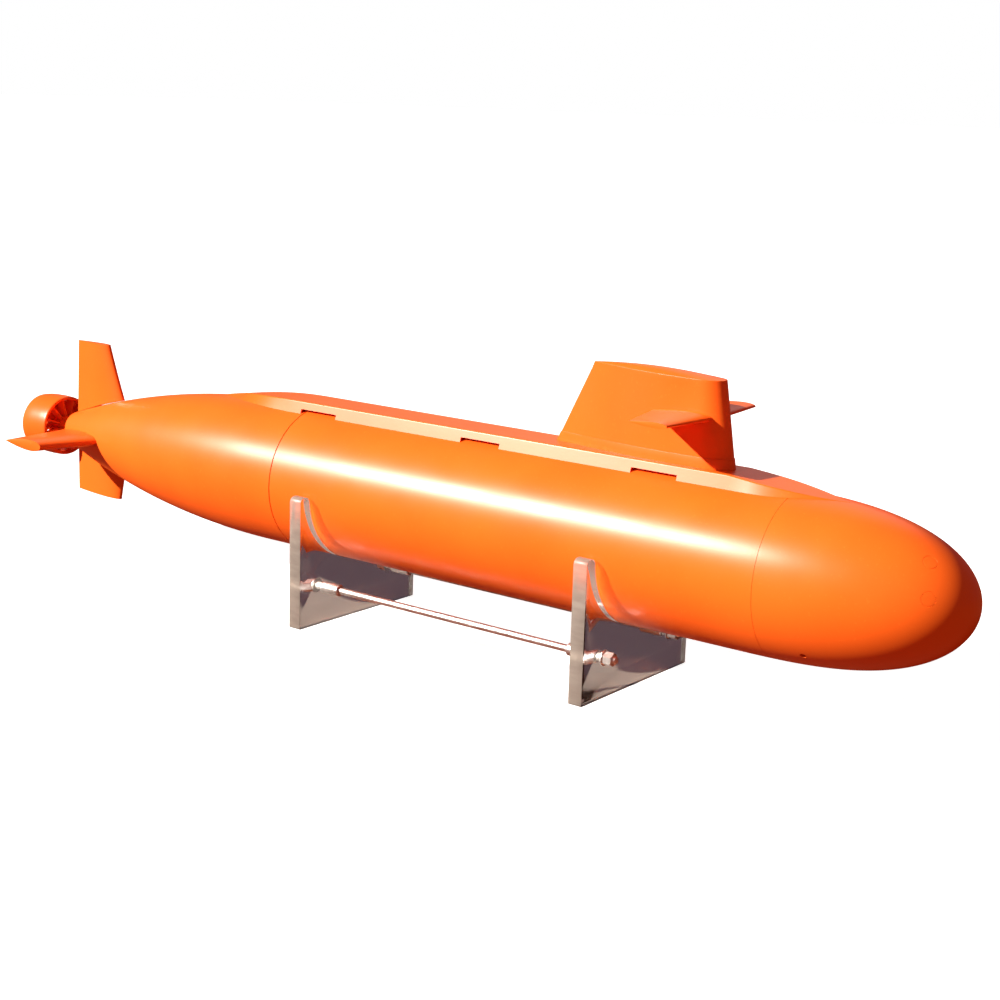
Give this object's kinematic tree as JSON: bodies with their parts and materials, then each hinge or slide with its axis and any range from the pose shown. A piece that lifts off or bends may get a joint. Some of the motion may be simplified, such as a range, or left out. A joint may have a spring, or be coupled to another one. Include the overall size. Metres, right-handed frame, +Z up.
{
  "type": "model submarine",
  "caption": "Radio-controlled model submarine with a ducted propeller, moving rudders and planes and a ballast piston, lifting off a clear plate display stand.",
  "frame": {"origin": "bottom centre of the bounding box, on the surface the stand's feet rest on", "axes": "+X towards the bow along the hull, +Y to port, +Z up"},
  "size_m": [0.98, 0.1794, 0.251],
  "materials": {
    "hull_paint": "satin orange paint on moulded plastic",
    "stand_acrylic": "clear sheet with sawn edges",
    "clear_acrylic": "clear polished tube",
    "stainless_steel": "bright stainless",
    "brass": "machined",
    "black_rubber": "matt",
    "black_plastic": "moulded",
    "white_plastic": "moulded",
    "aluminium": "turned",
    "lead": "dull cast lead",
    "battery_wrap": "shrink wrap",
    "tray_board": "varnished plywood"
  },
  "bodies": {
    "stand": {"stand_plate_front": "stand_acrylic", "stand_plate_rear": "stand_acrylic", "stand_rod_port": "stainless_steel", "stand_rod_starboard": "stainless_steel", "stand_nut_front_port": "stainless_steel", "stand_nut_front_starboard": "stainless_steel", "stand_nut_rear_port": "stainless_steel", "stand_nut_rear_starboard": "stainless_steel"},
    "hull": {"bow_section": "hull_paint", "mid_hull": "hull_paint", "tail_section": "hull_paint", "tail_coupling_ring": "aluminium", "bow_joint_ring": "white_plastic", "keel_ballast": "lead", "deck_casing": "hull_paint", "sail_base": "hull_paint", "sail": "hull_paint", "sail_servo": "black_plastic", "pressure_tube": "clear_acrylic", "rear_end_cap": "aluminium", "front_end_cap": "aluminium", "rear_o_ring": "black_rubber", "front_o_ring": "black_rubber", "cylinder_saddle_rear": "white_plastic", "cylinder_saddle_front": "white_plastic", "equipment_tray": "tray_board", "battery_pack": "battery_wrap", "receiver": "black_plastic", "speed_controller": "aluminium", "ballast_tank": "clear_acrylic", "drive_motor": "stainless_steel", "motor_mount": "white_plastic", "shaft_seal": "brass", "stern_tube": "brass", "stator": "hull_paint", "duct": "hull_paint", "rudder_servo": "black_plastic", "plane_servo": "black_plastic"},
    "screw": {"propeller_shaft": "stainless_steel", "shaft_coupling": "aluminium", "propeller": "hull_paint", "propeller_nut": "brass"},
    "rudder": {"rudder_upper": "hull_paint", "rudder_lower": "hull_paint", "rudder_yoke": "brass"},
    "rudder_linkage": {"rudder_pushrod": "stainless_steel"},
    "rudder_arm": {"rudder_servo_arm": "white_plastic"},
    "stern_planes": {"stern_plane_port": "hull_paint", "stern_plane_starboard": "hull_paint", "stern_plane_yoke": "brass"},
    "plane_linkage": {"plane_pushrod": "stainless_steel"},
    "plane_arm": {"plane_servo_arm": "white_plastic"},
    "sail_planes": {"sail_plane_port": "hull_paint", "sail_plane_starboard": "hull_paint", "sail_plane_shaft": "stainless_steel"},
    "sail_linkage": {"sail_link": "stainless_steel"},
    "piston": {"ballast_piston": "black_plastic"}
  },
  "joints": [
    {"name": "hull_lift", "type": "slide", "parent": "stand", "child": "hull", "axis": [0, 0, 1], "range_m": [0, 0.15]},
    {"name": "screw_spin", "type": "hinge", "parent": "hull", "child": "screw", "pos_m": [-0.471, 0, 0.113], "axis": [1, 0, 0], "continuous": true},
    {"name": "rudder_turn", "type": "hinge", "parent": "hull", "child": "rudder", "pos_m": [-0.406, 0, 0.113], "axis": [0, 0, 1], "range_deg": [-30, 30]},
    {"name": "rudder_pushrod_slide", "type": "slide", "parent": "hull", "child": "rudder_linkage", "axis": [1, 0, 0], "range_m": [-0.0063, 0.0063]},
    {"name": "rudder_servo_turn", "type": "hinge", "parent": "hull", "child": "rudder_arm", "pos_m": [0.03, 0, 0.113], "axis": [0, 0, 1], "range_deg": [-30, 30]},
    {"name": "stern_plane_turn", "type": "hinge", "parent": "hull", "child": "stern_planes", "pos_m": [-0.388, 0, 0.113], "axis": [0, 1, 0], "range_deg": [-25, 25]},
    {"name": "plane_pushrod_slide", "type": "slide", "parent": "hull", "child": "plane_linkage", "axis": [1, 0, 0], "range_m": [-0.0053, 0.0053]},
    {"name": "plane_servo_turn", "type": "hinge", "parent": "hull", "child": "plane_arm", "pos_m": [0.078, 0, 0.113], "axis": [0, 1, 0], "range_deg": [-25, 25]},
    {"name": "sail_plane_turn", "type": "hinge", "parent": "hull", "child": "sail_planes", "pos_m": [0.262, 0, 0.21925], "axis": [0, 1, 0], "range_deg": [-25, 25]},
    {"name": "sail_link_slide", "type": "slide", "parent": "hull", "child": "sail_linkage", "axis": [1, 0, 0], "range_m": [-0.0035, 0.0035]},
    {"name": "ballast_piston_slide", "type": "slide", "parent": "hull", "child": "piston", "axis": [1, 0, 0], "range_m": [0, 0.09]}
  ],
  "couplings": [
    {"joint": "rudder_pushrod_slide", "follows": "rudder_turn", "m_per_rad": -0.012},
    {"joint": "rudder_servo_turn", "follows": "rudder_turn", "ratio": 1},
    {"joint": "plane_pushrod_slide", "follows": "stern_plane_turn", "m_per_rad": 0.012},
    {"joint": "plane_servo_turn", "follows": "stern_plane_turn", "ratio": 1},
    {"joint": "sail_link_slide", "follows": "sail_plane_turn", "m_per_rad": -0.008}
  ]
}
